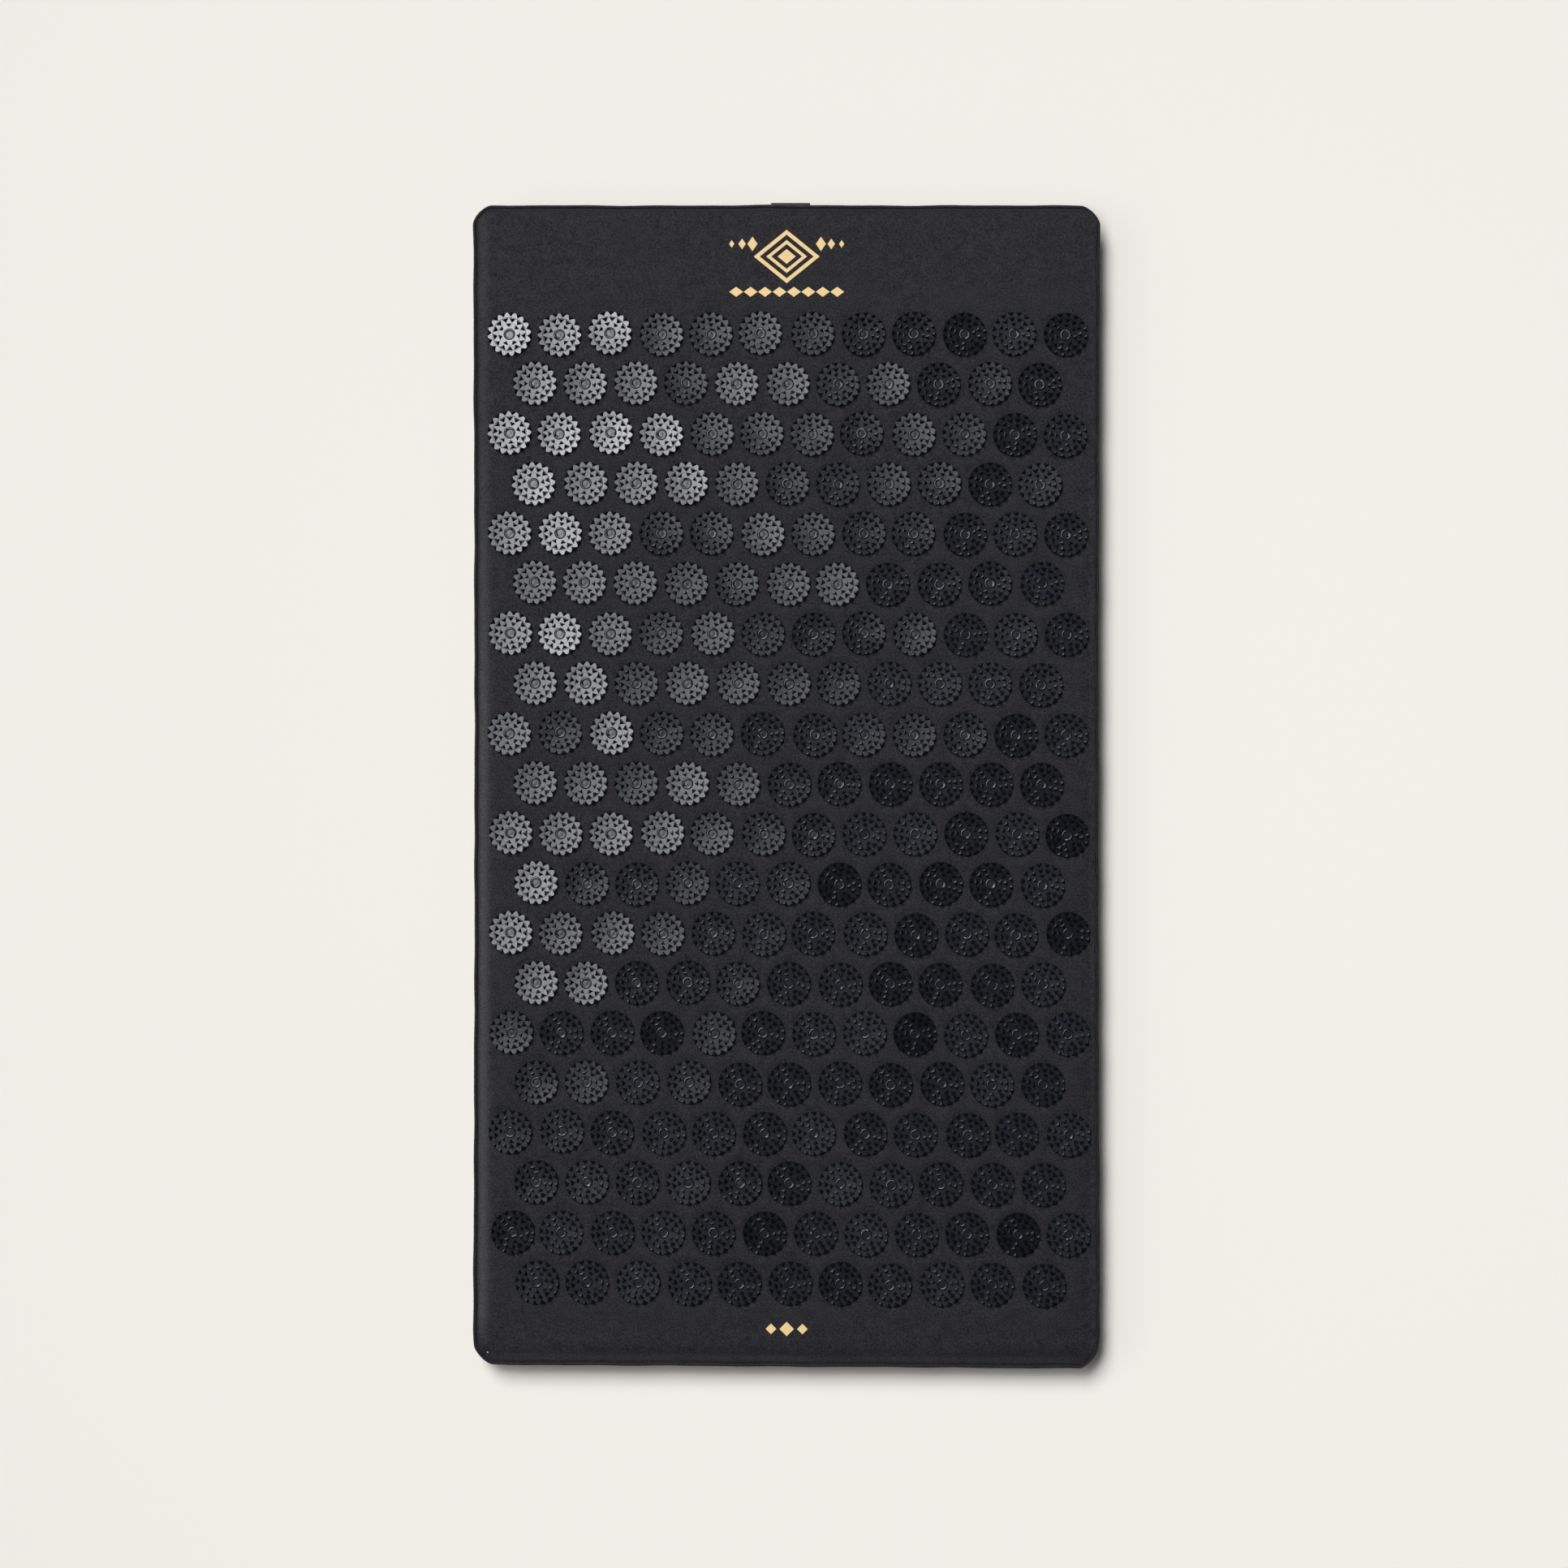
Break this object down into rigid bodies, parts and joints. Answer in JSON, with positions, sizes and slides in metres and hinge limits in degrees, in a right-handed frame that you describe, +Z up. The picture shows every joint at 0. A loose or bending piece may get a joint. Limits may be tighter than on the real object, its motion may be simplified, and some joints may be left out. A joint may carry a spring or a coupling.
{
  "type": "acupressure mat",
  "caption": "Flat foam mat in a zipped cloth cover, its top set with staggered rows of round plastic discs of short spikes, with a hanging loop at the head end.",
  "frame": {"origin": "middle of the underside, on the surface that the mat lies on", "axes": "+X across the mat, +Y along it towards the head end, +Z up through the discs"},
  "size_m": [0.3998, 0.7414, 0.0301],
  "materials": {
    "cover_cloth": "matt woven cotton",
    "disc_plastic": "moulded, half gloss",
    "motif_print": "flat printed gold ink",
    "foam": "open-cell foam",
    "webbing": "close woven tape",
    "zip_plastic": "nylon coil",
    "zip_metal": "black enamel"
  },
  "bodies": {
    "mat": {"spiked_top_panel": "cover_cloth", "bottom_panel": "cover_cloth", "side_band": "cover_cloth", "foot_band_upper": "cover_cloth", "foot_band_lower": "cover_cloth", "top_piping": "cover_cloth", "bottom_piping": "cover_cloth", "foam_insert": "foam", "zip_tape_upper": "webbing", "zip_tape_lower": "webbing", "zip_coil_upper": "zip_plastic", "zip_coil_lower": "zip_plastic", "zip_stop_closed_end": "zip_metal", "zip_stop_open_end": "zip_metal"},
    "hang_loop": {"hang_loop": "webbing"},
    "zip_slider": {"zip_slider": "zip_metal"},
    "zip_puller": {"zip_puller": "zip_metal"}
  },
  "joints": [
    {"name": "loop_swing", "type": "hinge", "parent": "mat", "child": "hang_loop", "pos_m": [0.0025, 0.3682, 0.01845], "axis": [1, 0, 0], "range_deg": [0, 90]},
    {"name": "slider_travel", "type": "slide", "parent": "mat", "child": "zip_slider", "axis": [1, 0, 0], "range_m": [-0.336, 0]},
    {"name": "puller_turn", "type": "hinge", "parent": "zip_slider", "child": "zip_puller", "pos_m": [0.168, -0.36821, 0.0121], "axis": [0, 0, 1], "range_deg": [0, 180]}
  ]
}
